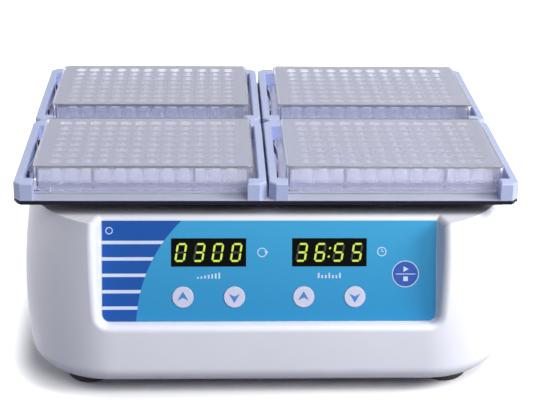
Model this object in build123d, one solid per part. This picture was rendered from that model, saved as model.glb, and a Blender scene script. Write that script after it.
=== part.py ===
from build123d import *
import os
from math import cos, radians, sin, tan

# Digital orbital shaker for four microplates.
# Millimetres. X to the right, Y to the back, Z up from the bench.
# The origin is on the bench, under the middle of the housing.

# Microplate and its lid, to the standard footprint for 96 wells
plate_length = 127.76
plate_width = 85.48
plate_height = 14.35
plate_flange_height = 2.6
plate_flange_step = 3.6
plate_wall = 1.3
plate_corner = 3.2
well_pitch = 9.0
well_columns = 12
well_rows = 8
well_radius = 3.4
well_depth = 10.7
well_wall = 0.7
lid_gap = 0.3
lid_wall = 1.1
lid_top = 1.6
lid_skirt = 7.2

# Brackets on the tray that hold each plate by its ends
bracket_wall = 4.6
bracket_prong = 9.0
bracket_reach = 5.9
bracket_height = 10.0
bracket_chamfer = 3.9
bracket_gap = 1.5
spring_space = 3.0
plate_side_gap = 0.2
plate_end_gap = 0.7

# Leaf springs that push each plate against its right bracket
spring_thickness = 0.5
spring_height = 5.0
spring_half_length = 31.0
spring_half_bow = 21.0
spring_screw_half_pitch = 25.5
spring_plate_gap = 0.3

# Tray
tray_thickness = 2.5
tray_gap = 7.5
orbit_radius = 1.5

# Housing, whose outline changes with height
foot_height = 7.6
deck_top = 100.0
wall = 3.0
deck_width = 276.0
deck_depth = 242.0
deck_corner = 66.0
waist_rise = 65.0
waist_width = 283.0
waist_depth = 255.0
waist_corner = 58.0
skirt_width = 274.0
skirt_depth = 265.0
skirt_corner = 48.0
sole_roll = 10.0
sole_lip = 4.0
tower_x = 114.0
tower_y = 52.0
tower_radius = 5.5

# Control panel, in a recess of the front that is open at the top
panel_tilt = 19.0
panel_setback = 17.6
panel_width = 188.5
panel_length = 57.3
panel_corner = 4.5
panel_flare = 18.0
recess_rim = 3.5
rim_match = 0.001
panel_film = 0.5
fit_gap = 0.3

# Displays and buttons, as distances along the panel from its middle and its top edge
window_width = 42.1
window_height = 16.0
window_drop = 18.2
speed_window_x = -34.5
time_window_x = 33.4
key_radius = 6.0
key_drop = 43.4
start_key_radius = 6.9
start_key_drop = 30.5
speed_up_x = -48.9
speed_down_x = -20.0
time_up_x = 19.0
time_down_x = 47.9
start_x = 76.5
key_proud = 0.9
key_travel = 0.4
key_flange = 1.3
key_flange_thickness = 1.2
key_flange_gap = 0.2
stem_radius = 1.75
switch_side = 6.0
switch_height = 3.6
plunger_height = 0.5
switch_gap = 0.1
board_thickness = 1.6
board_back = 12.0
board_half_width = 88.0
board_margin = 4.0
board_post_x = 83.0
board_post_radius = 3.5
display_gap = 0.3

# Base plate, feet and fasteners
base_thickness = 3.0
base_gap = 0.3
foot_radius = 13.4
foot_inset_x = 34.0
foot_inset_y = 30.0
foot_recess_radius = 5.0
foot_recess_depth = 3.0
screw_gap = 0.1
m4_radius = 2.0
m3_radius = 1.5
m2_radius = 1.0
head_ratio = 1.9
head_height = 1.8
foot_screw_end = 2.0
base_screw_length = 16.0
vent_slot = 3.0
vent_pitch = 8.0
vent_count = 8
vent_length = 26.0
vent_x = -48.0
vent_reach = 20.0

# Drive: frame on four pillars, motor below it, crank and bearings above
frame_rise = 60.0
frame_thickness = 4.0
frame_width = 200.0
frame_depth = 170.0
frame_corner = 10.0
pillar_x = 90.0
pillar_y = 75.0
pillar_radius = 6.0
motor_radius = 32.0
motor_length = 42.0
motor_shell = 11.0
motor_end = 6.0
motor_base = 4.0
rotor_gap = 1.0
shaft_radius = 7.5
shaft_air = 0.7
bearing_air = 0.03
main_bearing_radius = 16.0
main_bearing_height = 9.0
main_barrel_wall = 6.0
main_barrel_height = 20.0
flange_overhang = 10.0
flange_thickness = 4.0
crank_gap = 1.0
cheek_thickness = 5.0
cheek_radius = 15.0
counterweight_radius = 42.0
pin_radius = 6.0
hub_bearing_radius = 14.0
hub_bearing_height = 8.0
hub_wall = 5.0
hub_drop = 1.5
hub_roof = 3.5
deck_hole_air = 2.5

# Idler cranks that keep the tray from turning
idler_x = 72.0
idler_y = 56.0
idler_pin_radius = 4.0
idler_bearing_radius = 11.0
idler_bearing_height = 12.0
idler_block_side = 28.0
idler_cheek_radius = 9.0
idler_socket_wall = 3.0

# Supply at the back: socket, switch and supply board
rear_recess_depth = 10.5
rear_recess_width = 78.0
rear_recess_height = 38.0
rear_recess_x = 44.0
rear_recess_rise = 42.0
rear_corner = 4.0
inlet_x = 60.0
inlet_width = 28.0
inlet_height = 20.0
inlet_flange = 3.0
inlet_flange_thickness = 2.5
inlet_depth = 20.0
inlet_wall = 1.6
inlet_pin_width = 4.0
inlet_pin_thickness = 2.0
inlet_pin_pitch = 14.0
inlet_pin_rise = -1.0
inlet_earth_rise = 3.0
rocker_x = 20.0
rocker_width = 13.0
rocker_height = 20.0
rocker_frame = 2.0
rocker_frame_depth = 14.0
rocker_swing = 10.0
rocker_air = 0.3
rocker_radius = 9.0
supply_x = 62.0
supply_width = 44.0
supply_depth = 120.0
supply_rise = 6.0
transformer_side = 36.0
transformer_depth = 44.0
transformer_height = 34.0
transformer_y = 30.0
capacitor_radius = 7.0
capacitor_height = 24.0
capacitor_pitch = 18.0
capacitor_y = -14.0
ribbon_width = 20.0
ribbon_thickness = 1.0
ribbon_bend = 8.0
ribbon_lap = 2.0
ribbon_clear = 4.0
label_width = 60.0
label_depth = 34.0
label_thickness = 0.4

# Heights and places that follow from the sizes above
base_top = foot_height + base_thickness
deck_bottom = deck_top - wall
tray_bottom = deck_top + tray_gap
tray_top = tray_bottom + tray_thickness
frame_top = frame_rise + frame_thickness
barrel_top = frame_top + main_barrel_height
cheek_bottom = barrel_top + crank_gap
cheek_top = cheek_bottom + cheek_thickness
hub_bottom = cheek_top + hub_drop
hub_bearing_bottom = hub_bottom + hub_drop
pin_top = tray_bottom - hub_roof
rear_share = (rear_recess_rise - foot_height) / (waist_rise - foot_height)
rear_skin = (skirt_depth + (waist_depth - skirt_depth) * rear_share) / 2
rear_recess_face = rear_skin - rear_recess_depth
tray_x = -orbit_radius
pocket_length = spring_space + plate_length + plate_side_gap
cell_length = bracket_wall + pocket_length + bracket_wall
cell_depth = bracket_prong + plate_end_gap + plate_width + plate_end_gap + bracket_prong
tray_length = 2 * cell_length + bracket_gap
tray_depth = 2 * cell_depth + bracket_gap
panel_lip = recess_rim * tan(radians((90.0 - panel_tilt) / 2))
panel_top_y = -deck_depth / 2 + panel_setback - panel_lip * sin(radians(panel_tilt))
panel_top_z = deck_top - panel_lip * cos(radians(panel_tilt))
window_places = {"speed": speed_window_x, "time": time_window_x}
key_places = {
    "speed_up_button": (speed_up_x, key_drop, key_radius),
    "speed_down_button": (speed_down_x, key_drop, key_radius),
    "time_up_button": (time_up_x, key_drop, key_radius),
    "time_down_button": (time_down_x, key_drop, key_radius),
    "start_stop_button": (start_x, start_key_drop, start_key_radius),
}
foot_x = skirt_width / 2 - foot_inset_x
foot_y = skirt_depth / 2 - foot_inset_y
foot_places = [(x, y) for x in (-foot_x, foot_x) for y in (-foot_y, foot_y)]
tower_places = [(x, y) for x in (-tower_x, tower_x) for y in (-tower_y, tower_y)]
pillar_places = [(x, y) for x in (-pillar_x, pillar_x) for y in (-pillar_y, pillar_y)]
idler_places = {
    "idler_crank_front_left": (-idler_x, -idler_y),
    "idler_crank_front_right": (idler_x, -idler_y),
    "idler_crank_rear_left": (-idler_x, idler_y),
    "idler_crank_rear_right": (idler_x, idler_y),
}


# Plain shapes that stand on a given height

def slab(width, depth, bottom, top, radius=0.0, x=0.0, y=0.0):
    """A plate of width by depth, with rounded upright corners."""
    outline = RectangleRounded(width, depth, radius) if radius else Rectangle(width, depth)
    return Pos(x, y, bottom) * extrude(outline, amount=top - bottom)


def disc(radius, bottom, top, x=0.0, y=0.0):
    """An upright cylinder."""
    return Pos(x, y, bottom) * extrude(Circle(radius), amount=top - bottom)


def ring(outer, inner, bottom, top, x=0.0, y=0.0):
    """An upright tube."""
    return disc(outer, bottom, top, x, y) - disc(inner, bottom, top, x, y)


def screw(radius, head_at, tip_at, x=0.0, y=0.0):
    """A pan-headed screw along Z: its head sits beyond head_at, away from its tip."""
    up = 1 if head_at > tip_at else -1
    low, high = sorted((head_at, tip_at))
    head_low, head_high = sorted((head_at, head_at + up * head_height))
    head = disc(radius * head_ratio, head_low, head_high, x, y)
    return head + disc(radius, low, high, x, y)


def sunk_screw(radius, face, tip, x=0.0, y=0.0, swell=0.0):
    """A countersunk screw along Z with its head flush with face, or the hole for one."""
    up = 1 if face > tip else -1
    reach = radius * (head_ratio - 1.0)
    cone = Cone(radius + swell, radius * head_ratio + swell, reach)
    turn = Rot(0, 0, 0) if up > 0 else Rot(180, 0, 0)
    low, high = sorted((face - up * reach / 2, tip))
    return Pos(x, y, face - up * reach / 2) * turn * cone + disc(radius + swell, low, high, x, y)


# Housing

def housing_loft(inset, bottom, top):
    """The housing's outline carried up through three levels, a distance inside its skin."""
    levels = [
        (foot_height, skirt_width, skirt_depth, skirt_corner),
        (waist_rise, waist_width, waist_depth, waist_corner),
        (deck_top, deck_width, deck_depth, deck_corner),
    ]
    outlines = []
    for rise, width, depth, corner in levels:
        outline = RectangleRounded(width - 2 * inset, depth - 2 * inset, corner - inset)
        outlines.append(Pos(0, 0, rise) * outline)
    whole = loft(outlines) & slab(2 * waist_width, 2 * waist_depth, bottom, top)
    return fillet(whole.edges().group_by(Axis.Z)[0], sole_roll - inset)


def on_panel(shape, x=0.0, drop=0.0, rise=0.0):
    """Place a shape on the panel: x from its middle, drop down its slope, rise out of it."""
    plane = Plane(
        origin=(0, panel_top_y, panel_top_z),
        x_dir=(1, 0, 0),
        z_dir=(0, -cos(radians(panel_tilt)), sin(radians(panel_tilt))),
    )
    return plane.location * Pos(x, -drop, rise) * shape


def panel_recess(spread):
    """The recess that the control panel lies in: its sides flare outwards."""
    beyond = panel_length
    depth = 3 * panel_setback
    flare = depth * tan(radians(panel_flare))
    height = panel_length + beyond
    low = RectangleRounded(panel_width + 2 * spread, height + 2 * spread, panel_corner + spread)
    wide = 2 * (spread + flare)
    high = RectangleRounded(panel_width + wide, height + wide, panel_corner + spread + flare)
    middle = (panel_length - beyond) / 2
    return on_panel(loft([low, Pos(0, 0, depth + spread) * high]), drop=middle, rise=-spread)


def rear_recess(spread):
    """The flat-floored recess at the back that holds the socket and the switch."""
    sketch = RectangleRounded(
        rear_recess_width + 2 * spread, rear_recess_height + 2 * spread, rear_corner + spread
    )
    block = extrude(sketch, amount=rear_recess_depth + vent_reach)
    place = Pos(rear_recess_x, rear_recess_face - spread, rear_recess_rise)
    return place * Rot(-90, 0, 0) * block


def sole_slab(gap):
    """The opening under the housing, or the base plate that fills it with a gap around."""
    inset = sole_roll + sole_lip + gap
    return slab(skirt_width - 2 * inset, skirt_depth - 2 * inset, foot_height, base_top,
                skirt_corner - inset)


def rim_edges(shape, skin, cutter):
    """The edges that a cutter has left in a skin's surface."""
    edges = []
    for edge in shape.edges():
        spot = edge @ 0.5
        on_skin = min(face.distance_to(spot) for face in skin.faces()) < rim_match
        if on_skin and cutter.distance_to(spot) < rim_match:
            edges.append(edge)
    return edges


def build_housing():
    skin = housing_loft(0, foot_height, deck_top)
    recess = panel_recess(0)
    shell = skin - recess
    shell = fillet(rim_edges(shell, skin, recess), recess_rim)
    shell -= rear_recess(0)
    room = housing_loft(wall, base_top, deck_bottom)
    room -= panel_recess(wall)
    room -= rear_recess(wall)
    for x, y in tower_places:
        room -= disc(tower_radius, base_top, deck_bottom, x, y)
    shell -= room
    shell -= sole_slab(0)
    for side in (-1, 1):
        for drop in (board_margin * 2, panel_length - board_margin * 2):
            post = extrude(Circle(board_post_radius), amount=board_back - wall / 2)
            shell += on_panel(post, side * board_post_x, drop, -board_back)
    for x in window_places.values():
        hole = Box(window_width + 2 * fit_gap, window_height + 2 * fit_gap, 4 * wall)
        shell -= on_panel(hole, x, window_drop)
    for x, drop, radius in key_places.values():
        shell -= on_panel(Cylinder(radius + fit_gap, 4 * wall), x, drop)
    hub_hole = hub_bearing_radius + hub_wall + 2 * orbit_radius + deck_hole_air
    shell -= disc(hub_hole, deck_bottom, deck_top)
    socket_hole = idler_bearing_radius + idler_socket_wall + 2 * orbit_radius + deck_hole_air
    for x, y in idler_places.values():
        shell -= disc(socket_hole, deck_bottom, deck_top, x, y)
    for x, y in tower_places:
        shell -= disc(m4_radius + screw_gap, base_top, base_top + base_screw_length, x, y)
    slot = Box(vent_slot, vent_reach, vent_length)
    for step in range(vent_count):
        x = vent_x + (step - (vent_count - 1) / 2) * vent_pitch
        shell -= Pos(x, rear_skin, rear_recess_rise) * slot
    inlet_hole = Box(inlet_width + 2 * fit_gap, 4 * wall, inlet_height + 2 * fit_gap)
    shell -= Pos(inlet_x, rear_recess_face, rear_recess_rise) * inlet_hole
    switch_hole = Box(rocker_width + 2 * fit_gap, 4 * wall, rocker_height + 2 * fit_gap)
    shell -= Pos(rocker_x, rear_recess_face, rear_recess_rise) * switch_hole
    return shell


def build_base_plate():
    plate = sole_slab(base_gap)
    for x, y in foot_places:
        plate -= disc(m4_radius + screw_gap, foot_height, base_top, x, y)
    for x, y in tower_places + pillar_places:
        plate -= sunk_screw(m4_radius, foot_height, base_top + 1, x, y, screw_gap)
    return plate


# Feet and fasteners of the base

def build_feet():
    feet = []
    for x, y in foot_places:
        foot = disc(foot_radius, 0, foot_height, x, y)
        foot = chamfer(foot.edges().group_by(Axis.Z)[0], 1.0)
        foot -= disc(foot_recess_radius, 0, foot_recess_depth, x, y)
        feet.append(foot - disc(m4_radius + screw_gap, 0, foot_height, x, y))
    return feet


def build_foot_screws():
    tip = base_top + foot_screw_end
    return [screw(m4_radius, foot_recess_depth, tip, x, y) for x, y in foot_places]


def build_base_screws():
    towers = [sunk_screw(m4_radius, foot_height, base_top + base_screw_length - 1, x, y)
              for x, y in tower_places]
    pillars = [sunk_screw(m4_radius, foot_height, base_top + base_screw_length - 1, x, y)
               for x, y in pillar_places]
    return towers + pillars


# Frame, motor and bearings

def build_pillars():
    posts = []
    for x, y in pillar_places:
        post = disc(pillar_radius, base_top, frame_rise, x, y)
        post -= disc(m4_radius + screw_gap, base_top, base_top + base_screw_length, x, y)
        post -= disc(m4_radius + screw_gap, frame_rise - base_screw_length, frame_rise, x, y)
        posts.append(post)
    return posts


def build_frame():
    frame = slab(frame_width, frame_depth, frame_rise, frame_top, frame_corner)
    frame -= disc(shaft_radius + shaft_air, frame_rise, frame_top)
    for x, y in pillar_places:
        frame -= disc(m4_radius + screw_gap, frame_rise, frame_top, x, y)
    return frame


def build_frame_screws():
    tip = frame_rise - base_screw_length + 2
    return [screw(m4_radius, frame_top, tip, x, y) for x, y in pillar_places]


def build_motor():
    bottom = frame_rise - motor_length
    can = disc(motor_radius, bottom, frame_rise)
    can = chamfer(can.edges().group_by(Axis.Z)[0], 2.0)
    can -= disc(motor_radius - motor_shell, bottom + motor_end, frame_rise - motor_end)
    return can - disc(shaft_radius + shaft_air, frame_rise - motor_end, frame_rise)


def build_motor_stand():
    bottom = frame_rise - motor_length
    stand = ring(motor_radius - motor_base, motor_radius - 2 * motor_base, base_top, bottom)
    return stand


def build_main_barrel():
    barrel = disc(main_bearing_radius + main_barrel_wall, frame_top, barrel_top)
    barrel += disc(main_bearing_radius + main_barrel_wall + flange_overhang, frame_top,
                   frame_top + flange_thickness)
    return barrel - disc(main_bearing_radius, frame_top, barrel_top)


def build_main_bearings():
    lower = frame_top + 1
    upper = barrel_top - main_bearing_height
    bore = shaft_radius + bearing_air
    return [ring(main_bearing_radius, bore, z, z + main_bearing_height) for z in (lower, upper)]


def build_rotor():
    bottom = frame_rise - motor_length + motor_end + rotor_gap
    top = frame_rise - motor_end - rotor_gap
    return ring(motor_radius - motor_shell - rotor_gap, shaft_radius, bottom, top)


def build_drive_shaft():
    bottom = frame_rise - motor_length + motor_end + rotor_gap
    shaft = disc(shaft_radius, bottom, cheek_top)
    shaft += disc(cheek_radius, cheek_bottom, cheek_top)
    return shaft + disc(pin_radius, cheek_top, pin_top, tray_x, 0)


def build_counterweight():
    half = Pos(counterweight_radius, 0, 0) * Rectangle(
        2 * counterweight_radius, 2 * counterweight_radius
    )
    weight = (Circle(counterweight_radius) & half) - Circle(cheek_radius)
    return Pos(0, 0, cheek_bottom) * extrude(weight, amount=cheek_thickness)


def build_idler_blocks():
    blocks = []
    top = barrel_top
    for x, y in idler_places.values():
        block = slab(idler_block_side, idler_block_side, frame_top, top, 2.0, x, y)
        block -= disc(idler_bearing_radius, top - idler_bearing_height, top, x, y)
        block -= disc(idler_pin_radius + shaft_air, frame_top, top, x, y)
        blocks.append(block)
    return blocks


def build_idler_lower_bearings():
    bore = idler_pin_radius + bearing_air
    return [ring(idler_bearing_radius, bore, barrel_top - idler_bearing_height, barrel_top, x, y)
            for x, y in idler_places.values()]


def build_idler_crank(x, y):
    crank = disc(idler_pin_radius, frame_top + 2, cheek_bottom, x, y)
    crank += disc(idler_cheek_radius, cheek_bottom, cheek_top, x, y)
    return crank + disc(idler_pin_radius, cheek_top, pin_top, x + tray_x, y)


# Tray and what is fixed under it

def socket_shape(bearing_radius, side_wall, bearing_top, x, y):
    """A flanged cup under the tray with a bearing in its mouth and a dome over the pin."""
    barrel = bearing_radius + side_wall
    cup = disc(barrel, hub_bottom, tray_bottom, x, y)
    cup += disc(barrel + flange_overhang, tray_bottom - flange_thickness / 2, tray_bottom, x, y)
    cup -= disc(bearing_radius, hub_bottom, bearing_top, x, y)
    return cup - disc(bearing_radius - 4, bearing_top, pin_top + 1, x, y)


def build_hub():
    return socket_shape(
        hub_bearing_radius, hub_wall, hub_bearing_bottom + hub_bearing_height, tray_x, 0
    ) - hub_screw_holes()


def hub_screw_places():
    barrel = hub_bearing_radius + hub_wall + flange_overhang / 2
    return [(tray_x + sx * barrel * cos(radians(45)), sy * barrel * sin(radians(45)))
            for sx in (-1, 1) for sy in (-1, 1)]


def socket_screw_places():
    barrel = idler_bearing_radius + idler_socket_wall + flange_overhang / 2
    return [(tray_x + x + side * barrel, y)
            for x, y in idler_places.values() for side in (-1, 1)]


def hub_screw_holes():
    return [disc(m3_radius + screw_gap, tray_bottom - flange_thickness, tray_bottom, x, y)
            for x, y in hub_screw_places()]


def build_idler_sockets():
    top = hub_bottom + idler_bearing_height
    holes = [disc(m3_radius + screw_gap, tray_bottom - flange_thickness, tray_bottom, x, y)
             for x, y in socket_screw_places()]
    return [socket_shape(idler_bearing_radius, idler_socket_wall, top, x + tray_x, y) - holes
            for x, y in idler_places.values()]


def build_idler_upper_bearings():
    bore = idler_pin_radius + bearing_air
    top = hub_bottom + idler_bearing_height
    return [ring(idler_bearing_radius, bore, hub_bottom, top, x + tray_x, y)
            for x, y in idler_places.values()]


def build_hub_bearing():
    top = hub_bearing_bottom + hub_bearing_height
    return ring(hub_bearing_radius, pin_radius + bearing_air, hub_bearing_bottom, top, tray_x, 0)


def tray_outline():
    outline = Rectangle(tray_length, tray_depth)
    return chamfer(outline.vertices(), bracket_chamfer)


def cell_places():
    """The middle of each of the four plate cells."""
    x = (cell_length + bracket_gap) / 2
    y = (cell_depth + bracket_gap) / 2
    return {
        "front_left": (tray_x - x, -y),
        "front_right": (tray_x + x, -y),
        "rear_left": (tray_x - x, y),
        "rear_right": (tray_x + x, y),
    }


def bracket_screw_places():
    inset = cell_length / 2 - bracket_wall / 2
    reach = cell_depth / 2 - bracket_prong / 2
    return [(x + sx * inset, y + sy * reach)
            for x, y in cell_places().values() for sx in (-1, 1) for sy in (-1, 1)]


def build_tray_plate():
    plate = Pos(tray_x, 0, tray_bottom) * extrude(tray_outline(), amount=tray_thickness)
    cuts = [sunk_screw(m3_radius, tray_bottom, tray_top + 1, x, y, screw_gap)
            for x, y in bracket_screw_places()]
    cuts += [sunk_screw(m3_radius, tray_top, tray_bottom - 1, x, y, screw_gap)
             for x, y in hub_screw_places() + socket_screw_places()]
    return plate - cuts


def build_tray_screws():
    tip = tray_bottom - flange_thickness / 2
    return [sunk_screw(m3_radius, tray_top, tip, x, y)
            for x, y in hub_screw_places() + socket_screw_places()]


def build_bracket_screws():
    tip = tray_top + bracket_height * 0.6
    return [sunk_screw(m3_radius, tray_bottom, tip, x, y) for x, y in bracket_screw_places()]


def bracket_shape(x, y, side):
    """A bracket with a wall on the outer side of its cell and a prong at each end."""
    reach = bracket_wall + bracket_reach
    body = Rectangle(reach, cell_depth)
    outer = body.vertices().group_by(Axis.X)[0]
    body = chamfer(outer, bracket_chamfer)
    inside = Pos(bracket_wall, 0) * Rectangle(reach, cell_depth - 2 * bracket_prong)
    shape = extrude(body - inside, amount=bracket_height)
    shape = chamfer(shape.edges().group_by(Axis.Z)[-1], 0.6)
    shape = Pos(reach / 2 - cell_length / 2, 0, tray_top) * shape
    if side > 0:
        shape = Rot(0, 0, 180) * shape
    shape = Pos(x, y, 0) * shape
    height = tray_top + bracket_height * 0.7
    return shape - [disc(m3_radius + screw_gap, tray_top, height, hx, hy)
                    for hx, hy in bracket_screw_places()]


def build_brackets(side):
    shapes = [bracket_shape(x, y, side) for x, y in cell_places().values()]
    if side > 0:
        return shapes
    return [shape - spring_screw_holes() for shape in shapes]


# Leaf springs on the left brackets

def spring_wall_x(x):
    return x - cell_length / 2 + bracket_wall


def spring_middle():
    return tray_top + bracket_height / 2


def build_springs():
    bow = spring_space - spring_plate_gap - spring_thickness
    springs = []
    for x, y in cell_places().values():
        back = [
            Line((0, -spring_half_length), (0, -spring_half_bow)),
            ThreePointArc((0, -spring_half_bow), (bow, 0), (0, spring_half_bow)),
            Line((0, spring_half_bow), (0, spring_half_length)),
        ]
        front = [Pos(spring_thickness, 0, 0) * edge for edge in back]
        ends = [
            Line((0, end), (spring_thickness, end))
            for end in (-spring_half_length, spring_half_length)
        ]
        strip = extrude(make_face(back + front + ends), amount=spring_height)
        strip = Pos(spring_wall_x(x), y, spring_middle() - spring_height / 2) * strip
        springs.append(strip - spring_screw_holes())
    return springs


def spring_screw_places():
    return [(spring_wall_x(x), y + side * spring_screw_half_pitch)
            for x, y in cell_places().values() for side in (-1, 1)]


def spring_screw_holes():
    length = bracket_wall
    return [Pos(x, y, spring_middle()) * Rot(0, 90, 0) * Cylinder(m2_radius + screw_gap, length)
            for x, y in spring_screw_places()]


def build_spring_screws():
    screws = []
    for x, y in spring_screw_places():
        shank = Pos(0, 0, -bracket_wall / 4) * Cylinder(m2_radius, bracket_wall / 2)
        head = Pos(0, 0, spring_thickness + 0.5) * Cylinder(m2_radius * head_ratio, 1.0)
        neck = Pos(0, 0, spring_thickness / 2) * Cylinder(m2_radius, spring_thickness)
        place = Pos(x, y, spring_middle()) * Rot(0, 90, 0)
        screws.append(place * (shank + neck + head))
    return screws


# Microplates and lids

def plate_place(cell):
    x, y = cell_places()[cell]
    shift = (spring_space - plate_side_gap) / 2
    return Pos(x + shift, y, tray_top)


def well_grid(radius):
    return GridLocations(well_pitch, well_pitch, well_columns, well_rows) * Circle(radius)


def build_microplate():
    body_length = plate_length - 2 * plate_flange_step
    body_width = plate_width - 2 * plate_flange_step
    plate = slab(plate_length, plate_width, 0, plate_flange_height, plate_corner)
    plate += slab(body_length, body_width, 0, plate_height, plate_corner - 1)
    plate -= slab(plate_length - 2 * plate_wall, plate_width - 2 * plate_wall, 0,
                  plate_flange_height - plate_wall, plate_corner - plate_wall)
    plate -= slab(body_length - 2 * plate_wall, body_width - 2 * plate_wall, 0,
                  plate_height - plate_wall, 1.0)
    floor = plate_height - well_depth - well_wall
    outer = Sketch() + well_grid(well_radius + well_wall)
    inner = Sketch() + well_grid(well_radius)
    plate += Pos(0, 0, floor) * extrude(outer, amount=plate_height - plate_wall / 2 - floor)
    plate -= Pos(0, 0, plate_height - well_depth) * extrude(inner, amount=well_depth)
    return plate


def build_lid():
    length = plate_length - 2 * (plate_flange_step - lid_gap - lid_wall)
    width = plate_width - 2 * (plate_flange_step - lid_gap - lid_wall)
    top = plate_height + lid_top
    lid = slab(length, width, lid_skirt, top, plate_corner)
    lid = chamfer(lid.edges().group_by(Axis.Z)[-1], 0.5)
    return lid - slab(length - 2 * lid_wall, width - 2 * lid_wall, lid_skirt, plate_height,
                      plate_corner - lid_wall)


# Control panel

def build_overlay():
    film = Rectangle(panel_width - 2 * fit_gap, panel_length - 2 * fit_gap)
    film = fillet(film.vertices().group_by(Axis.Y)[0], panel_corner - fit_gap)
    film = on_panel(extrude(film, amount=panel_film), drop=panel_length / 2)
    for x in window_places.values():
        film -= on_panel(Box(window_width, window_height, 4 * panel_film), x, window_drop)
    for x, drop, radius in key_places.values():
        film -= on_panel(Cylinder(radius + fit_gap / 2, 4 * panel_film), x, drop)
    return film


def build_windows():
    height = wall + panel_film
    pane = Pos(0, 0, height / 2) * Box(window_width - 2 * 0.05, window_height - 2 * 0.05, height)
    return [on_panel(pane, x, window_drop, -wall) for x in window_places.values()]


def build_displays():
    height = board_back - wall - display_gap
    block = Pos(0, 0, height / 2) * Box(window_width, window_height, height)
    return [on_panel(block, x, window_drop, -board_back) for x in window_places.values()]


def build_board():
    length = panel_length - 2 * board_margin
    board = Box(2 * board_half_width, length, board_thickness)
    board = on_panel(board, 0, panel_length / 2, -board_back - board_thickness / 2)
    return board


def build_key(x, drop, radius):
    bottom = -wall - key_flange_gap - key_flange_thickness
    stem_bottom = -board_back + switch_height + plunger_height + key_travel + switch_gap
    cap = Pos(0, 0, bottom) * extrude(Circle(radius), amount=key_proud - bottom)
    cap = fillet(cap.edges().group_by(Axis.Z)[-1], 0.4)
    cap += Pos(0, 0, bottom) * extrude(Circle(radius + key_flange), amount=key_flange_thickness)
    cap += Pos(0, 0, stem_bottom) * extrude(Circle(stem_radius), amount=bottom - stem_bottom)
    return on_panel(cap, x, drop)


def build_switches():
    shapes = []
    for x, drop, radius in key_places.values():
        body = Pos(0, 0, switch_height / 2) * Box(switch_side, switch_side, switch_height)
        body += Pos(0, 0, switch_height) * extrude(Circle(stem_radius), amount=plunger_height)
        shapes.append(on_panel(body, x, drop, -board_back))
    return shapes


# Supply at the back

def rear_block(width, height, front, back, x):
    """A block that runs along Y from front to back, centred on the rear recess's height."""
    middle = (front + back) / 2
    return Pos(x, middle, rear_recess_rise) * Box(width, back - front, height)


def build_inlet():
    face = rear_recess_face
    front = face - inlet_depth
    out = face + inlet_flange_thickness
    body = rear_block(inlet_width, inlet_height, front, face, inlet_x)
    body += rear_block(inlet_width + 2 * inlet_flange, inlet_height + 2 * inlet_flange,
                       face, out, inlet_x)
    cavity = rear_block(inlet_width - 2 * inlet_wall, inlet_height - 2 * inlet_wall,
                        front + inlet_wall * 2, out, inlet_x)
    return body - cavity


def build_inlet_pins():
    face = rear_recess_face
    back = face - inlet_depth + 2 * inlet_wall
    front = face - 2
    half = inlet_pin_pitch / 2
    pins = []
    places = ((-half, inlet_pin_rise), (half, inlet_pin_rise), (0.0, inlet_earth_rise))
    for x, rise in places:
        pin = Box(inlet_pin_thickness, front - back, inlet_pin_width)
        pins.append(Pos(inlet_x + x, (front + back) / 2, rear_recess_rise + rise) * pin)
    return pins


def build_switch_frame():
    face = rear_recess_face
    body = rear_block(rocker_width, rocker_height, face - rocker_frame_depth, face, rocker_x)
    body += rear_block(rocker_width + 2 * rocker_frame, rocker_height + 2 * rocker_frame,
                       face, face + rocker_frame, rocker_x)
    room = rear_block(rocker_width - 2, rocker_height - 2,
                      face - rocker_frame_depth + rocker_frame, face + rocker_frame, rocker_x)
    return body - room


def build_rocker():
    width = rocker_width - 2 - 2 * rocker_air
    reach = rocker_height / 2 - 1 - rocker_air - 0.6
    drum = Rot(0, 90, 0) * Cylinder(rocker_radius / 2, width)
    paddle = Pos(0, rocker_radius / 4, 0) * Box(width, rocker_radius / 3, 2 * reach)
    place = Pos(rocker_x, rear_recess_face - 1, rear_recess_rise) * Rot(rocker_swing, 0, 0)
    return place * (drum + paddle)


def build_supply_board():
    bottom = base_top + supply_rise
    return slab(supply_width, supply_depth, bottom, bottom + board_thickness, 0, supply_x, 0)


def build_standoffs():
    places = [(supply_x + sx * (supply_width / 2 - 5), sy * (supply_depth / 2 - 5))
              for sx in (-1, 1) for sy in (-1, 1)]
    return [disc(3.0, base_top, base_top + supply_rise, x, y) for x, y in places]


def build_transformer():
    bottom = base_top + supply_rise + board_thickness
    core = slab(transformer_side, transformer_depth, bottom, bottom + transformer_height, 1.5,
                supply_x, transformer_y)
    return chamfer(core.edges().group_by(Axis.Z)[-1], 1.0)


def build_capacitors():
    bottom = base_top + supply_rise + board_thickness
    cans = []
    for step in range(3):
        y = capacitor_y - step * capacitor_pitch
        can = disc(capacitor_radius, bottom, bottom + capacitor_height, supply_x, y)
        cans.append(fillet(can.edges().group_by(Axis.Z)[-1], 1.0))
    return cans


def build_ribbon():
    """A flat cable from the control board's back down to the supply board's front end."""
    board_y = panel_top_y - (panel_length / 2) * sin(radians(panel_tilt))
    board_y += (board_back + board_thickness) * cos(radians(panel_tilt))
    board_z = panel_top_z - (panel_length / 2) * cos(radians(panel_tilt))
    board_z -= (board_back + board_thickness) * sin(radians(panel_tilt))
    board_y += ribbon_thickness / 2 * tan(radians(panel_tilt))
    low = base_top + supply_rise + board_thickness + ribbon_thickness / 2
    end_y = -supply_depth / 2 + ribbon_lap
    hang_y = -frame_depth / 2 - ribbon_clear
    route = FilletPolyline(
        (0, board_y, board_z), (0, hang_y, board_z), (0, hang_y, low), (0, end_y, low),
        radius=ribbon_bend,
    )
    section = Plane(origin=(0, board_y, board_z), z_dir=(0, 1, 0), x_dir=(1, 0, 0))
    strip = sweep(section * Rectangle(ribbon_width, ribbon_thickness), path=route)
    return Pos(supply_x, 0, 0) * strip


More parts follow.
